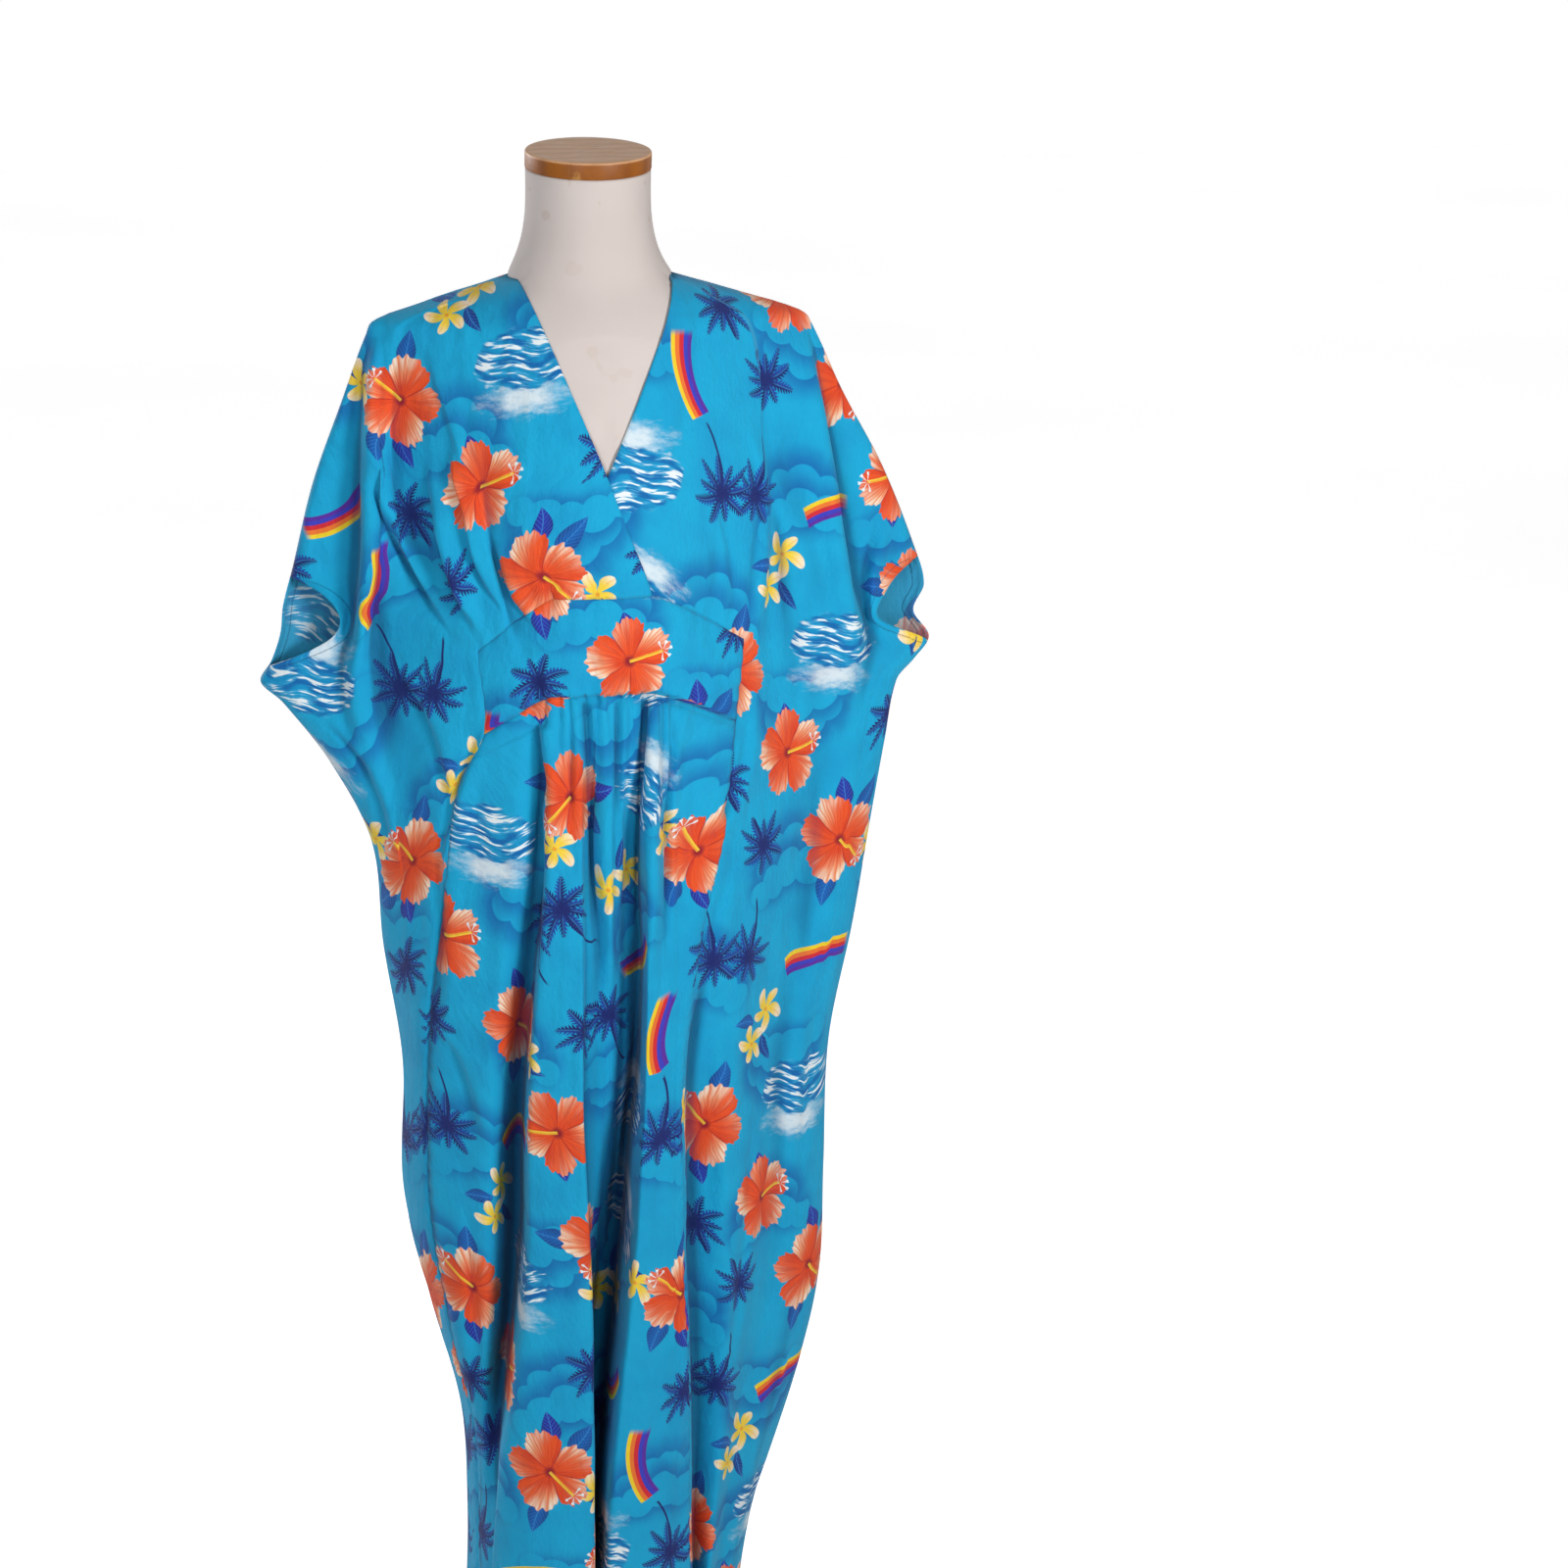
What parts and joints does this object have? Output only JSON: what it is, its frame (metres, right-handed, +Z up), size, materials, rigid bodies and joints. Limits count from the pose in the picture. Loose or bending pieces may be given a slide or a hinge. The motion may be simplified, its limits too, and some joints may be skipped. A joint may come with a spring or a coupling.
{
  "type": "muumuu dress on dress form",
  "caption": "Loose long dress with a lapped V neck, batwing sleeves, a midriff band and a gathered skirt, worn by a limbless dress form with a neck cap, on a round stand.",
  "frame": {"origin": "on the floor, at the middle of the underside of the stand's base", "axes": "+Z up from the floor to the neck cap, -Y out of the front of the dress, +X to the right as seen from the front"},
  "size_m": [0.6455, 0.3, 1.5512],
  "materials": {
    "cloth": "printed plain weave, soft sheen",
    "form_cover": "fine plain weave, matt",
    "cap_wood": "varnished, satin",
    "stand_paint": "black, satin"
  },
  "bodies": {
    "root": {"front_lapped": "cloth", "front_under": "cloth", "midriff_band": "cloth", "skirt_front": "cloth", "back": "cloth", "form_torso": "form_cover", "neck_cap": "cap_wood", "stand_pole": "stand_paint", "stand_base": "stand_paint"}
  },
  "joints": []
}
